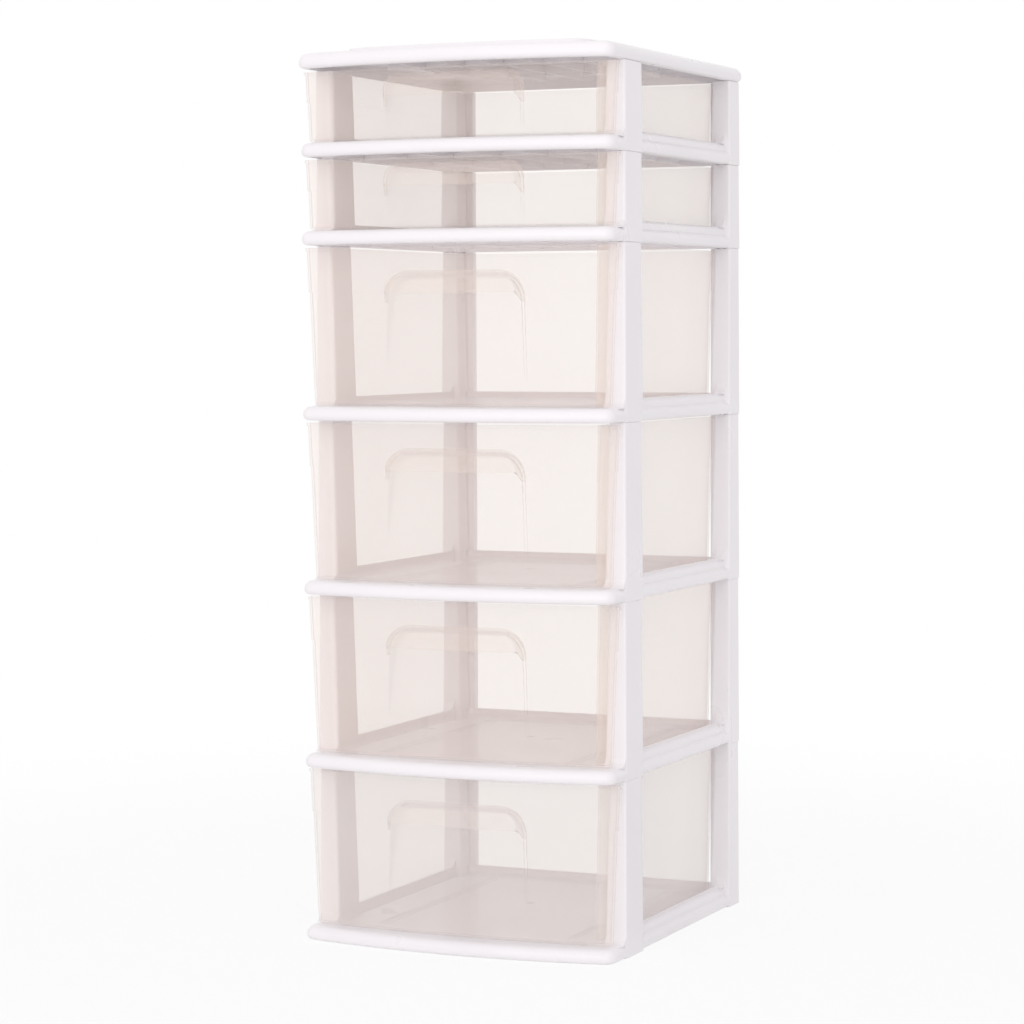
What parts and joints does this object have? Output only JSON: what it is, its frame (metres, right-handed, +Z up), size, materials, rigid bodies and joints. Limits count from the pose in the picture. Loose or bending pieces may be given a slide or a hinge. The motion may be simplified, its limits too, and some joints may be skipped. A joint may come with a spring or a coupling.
{
  "type": "plastic drawer tower",
  "caption": "Tall white plastic storage tower for craft supplies, with clear bow-fronted drawers that slide on stacked open-sided frames.",
  "frame": {"origin": "centre of the outline, on the floor", "axes": "+Z up, -Y to the front, where the drawers open, +X to the right as seen from the front"},
  "size_m": [0.313, 0.355, 0.824],
  "materials": {
    "white_plastic": "smooth moulded, softly glossy",
    "clear_plastic": "clear with a slight haze, glossy"
  },
  "bodies": {
    "tower": {"top_lid": "white_plastic", "frame_1": "white_plastic", "frame_2": "white_plastic", "frame_3": "white_plastic", "frame_4": "white_plastic", "frame_5": "white_plastic", "frame_6": "white_plastic"},
    "drawer_1_body": {"drawer_1": "clear_plastic"},
    "drawer_2_body": {"drawer_2": "clear_plastic"},
    "drawer_3_body": {"drawer_3": "clear_plastic"},
    "drawer_4_body": {"drawer_4": "clear_plastic"},
    "drawer_5_body": {"drawer_5": "clear_plastic"},
    "drawer_6_body": {"drawer_6": "clear_plastic"}
  },
  "joints": [
    {"name": "drawer_1_slide", "type": "slide", "parent": "tower", "child": "drawer_1_body", "axis": [0, -1, 0], "range_m": [0, 0.25]},
    {"name": "drawer_2_slide", "type": "slide", "parent": "tower", "child": "drawer_2_body", "axis": [0, -1, 0], "range_m": [0, 0.25]},
    {"name": "drawer_3_slide", "type": "slide", "parent": "tower", "child": "drawer_3_body", "axis": [0, -1, 0], "range_m": [0, 0.25]},
    {"name": "drawer_4_slide", "type": "slide", "parent": "tower", "child": "drawer_4_body", "axis": [0, -1, 0], "range_m": [0, 0.25]},
    {"name": "drawer_5_slide", "type": "slide", "parent": "tower", "child": "drawer_5_body", "axis": [0, -1, 0], "range_m": [0, 0.25]},
    {"name": "drawer_6_slide", "type": "slide", "parent": "tower", "child": "drawer_6_body", "axis": [0, -1, 0], "range_m": [0, 0.25]}
  ]
}
